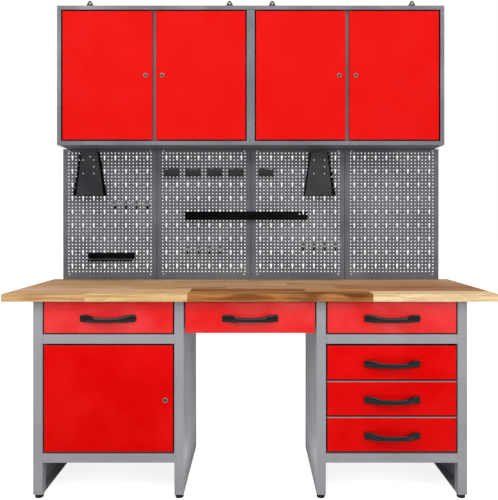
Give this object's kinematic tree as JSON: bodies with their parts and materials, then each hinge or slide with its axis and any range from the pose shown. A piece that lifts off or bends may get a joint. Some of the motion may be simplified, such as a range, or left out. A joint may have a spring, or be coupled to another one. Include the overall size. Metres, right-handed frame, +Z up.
{
  "type": "workbench with drawers",
  "caption": "Workbench: wood top on two steel pedestals with red drawers and a door, a perforated tool wall behind it and lockable wall cabinets above.",
  "frame": {"origin": "on the floor under the middle of the worktop", "axes": "+X to the right seen from the front, +Y towards the wall, +Z up"},
  "size_m": [1.9, 0.6, 2.1426],
  "materials": {
    "wood": "oiled glued staves",
    "red_enamel": "semi-gloss powder coat",
    "grey_enamel": "semi-gloss powder coat",
    "slate_enamel": "semi-gloss powder coat",
    "black_plastic": "moulded, fine grain",
    "black_enamel": "matt powder coat",
    "nickel": "bright plating"
  },
  "bodies": {
    "frame": {"worktop": "wood", "side_panel_left_outer": "grey_enamel", "side_panel_left_inner": "grey_enamel", "side_panel_right_inner": "grey_enamel", "side_panel_right_outer": "grey_enamel", "floor_left": "grey_enamel", "floor_right": "grey_enamel", "middle_rail_left": "grey_enamel", "middle_rail_right": "grey_enamel", "back_panel_left": "grey_enamel", "back_panel_right": "grey_enamel", "shelf_left": "grey_enamel", "rear_beam": "grey_enamel", "foot_1_front": "black_plastic", "foot_1_rear": "black_plastic", "foot_2_front": "black_plastic", "foot_2_rear": "black_plastic", "foot_3_front": "black_plastic", "foot_3_rear": "black_plastic", "foot_4_front": "black_plastic", "foot_4_rear": "black_plastic", "pegboard_1": "slate_enamel", "pegboard_2": "slate_enamel", "pegboard_3": "slate_enamel", "pegboard_4": "slate_enamel", "wall_cabinet_left": "slate_enamel", "wall_cabinet_right": "slate_enamel", "wrench_holder_left": "black_plastic", "wrench_holder_right": "black_plastic", "tool_rail_long_left": "black_enamel", "tool_rail_long_right": "black_enamel", "tool_rail_short": "black_enamel"},
    "drawer_left_top": {"drawer_box_left_top": "grey_enamel", "drawer_front_left_top": "red_enamel", "drawer_handle_left_top": "black_plastic"},
    "drawer_centre": {"drawer_box_centre": "grey_enamel", "drawer_front_centre": "red_enamel", "drawer_handle_centre": "black_plastic"},
    "drawer_right_top": {"drawer_box_right_top": "grey_enamel", "drawer_front_right_top": "red_enamel", "drawer_handle_right_top": "black_plastic"},
    "drawer_right_2": {"drawer_box_right_2": "grey_enamel", "drawer_front_right_2": "red_enamel", "drawer_handle_right_2": "black_plastic"},
    "drawer_right_3": {"drawer_box_right_3": "grey_enamel", "drawer_front_right_3": "red_enamel", "drawer_handle_right_3": "black_plastic"},
    "drawer_right_4": {"drawer_box_right_4": "grey_enamel", "drawer_front_right_4": "red_enamel", "drawer_handle_right_4": "black_plastic"},
    "base_door": {"base_door": "red_enamel"},
    "base_door_lock": {"base_door_lock": "nickel"},
    "wall_door_1": {"wall_door_1": "red_enamel"},
    "wall_lock_1": {"wall_lock_1": "nickel"},
    "wall_door_2": {"wall_door_2": "red_enamel"},
    "wall_lock_2": {"wall_lock_2": "nickel"},
    "wall_door_3": {"wall_door_3": "red_enamel"},
    "wall_lock_3": {"wall_lock_3": "nickel"},
    "wall_door_4": {"wall_door_4": "red_enamel"},
    "wall_lock_4": {"wall_lock_4": "nickel"}
  },
  "joints": [
    {"name": "slide_left_top", "type": "slide", "parent": "frame", "child": "drawer_left_top", "axis": [0, -1, 0], "range_m": [0, 0.33]},
    {"name": "slide_centre", "type": "slide", "parent": "frame", "child": "drawer_centre", "axis": [0, -1, 0], "range_m": [0, 0.33]},
    {"name": "slide_right_top", "type": "slide", "parent": "frame", "child": "drawer_right_top", "axis": [0, -1, 0], "range_m": [0, 0.33]},
    {"name": "slide_right_2", "type": "slide", "parent": "frame", "child": "drawer_right_2", "axis": [0, -1, 0], "range_m": [0, 0.33]},
    {"name": "slide_right_3", "type": "slide", "parent": "frame", "child": "drawer_right_3", "axis": [0, -1, 0], "range_m": [0, 0.33]},
    {"name": "slide_right_4", "type": "slide", "parent": "frame", "child": "drawer_right_4", "axis": [0, -1, 0], "range_m": [0, 0.33]},
    {"name": "base_door_hinge", "type": "hinge", "parent": "frame", "child": "base_door", "pos_m": [-0.794, -0.254, 0.38825], "axis": [0, 0, -1], "range_deg": [0, 110]},
    {"name": "base_door_lock_turn", "type": "hinge", "parent": "base_door", "child": "base_door_lock", "pos_m": [-0.3295, -0.26, 0.383], "axis": [0, -1, 0], "range_deg": [0, 90]},
    {"name": "wall_door_1_hinge", "type": "hinge", "parent": "frame", "child": "wall_door_1", "pos_m": [-0.85, 0.136, 1.7415], "axis": [0, 0, -1], "range_deg": [0, 110]},
    {"name": "wall_lock_1_turn", "type": "hinge", "parent": "wall_door_1", "child": "wall_lock_1", "pos_m": [-0.4775, 0.13, 1.741], "axis": [0, -1, 0], "range_deg": [0, 90]},
    {"name": "wall_door_2_hinge", "type": "hinge", "parent": "frame", "child": "wall_door_2", "pos_m": [-0.03, 0.136, 1.7415], "axis": [0, 0, 1], "range_deg": [0, 90]},
    {"name": "wall_lock_2_turn", "type": "hinge", "parent": "wall_door_2", "child": "wall_lock_2", "pos_m": [-0.4025, 0.13, 1.741], "axis": [0, 1, 0], "range_deg": [0, 90]},
    {"name": "wall_door_3_hinge", "type": "hinge", "parent": "frame", "child": "wall_door_3", "pos_m": [0.03, 0.136, 1.7415], "axis": [0, 0, -1], "range_deg": [0, 90]},
    {"name": "wall_lock_3_turn", "type": "hinge", "parent": "wall_door_3", "child": "wall_lock_3", "pos_m": [0.4025, 0.13, 1.741], "axis": [0, -1, 0], "range_deg": [0, 90]},
    {"name": "wall_door_4_hinge", "type": "hinge", "parent": "frame", "child": "wall_door_4", "pos_m": [0.85, 0.136, 1.7415], "axis": [0, 0, 1], "range_deg": [0, 110]},
    {"name": "wall_lock_4_turn", "type": "hinge", "parent": "wall_door_4", "child": "wall_lock_4", "pos_m": [0.4775, 0.13, 1.741], "axis": [0, 1, 0], "range_deg": [0, 90]}
  ]
}
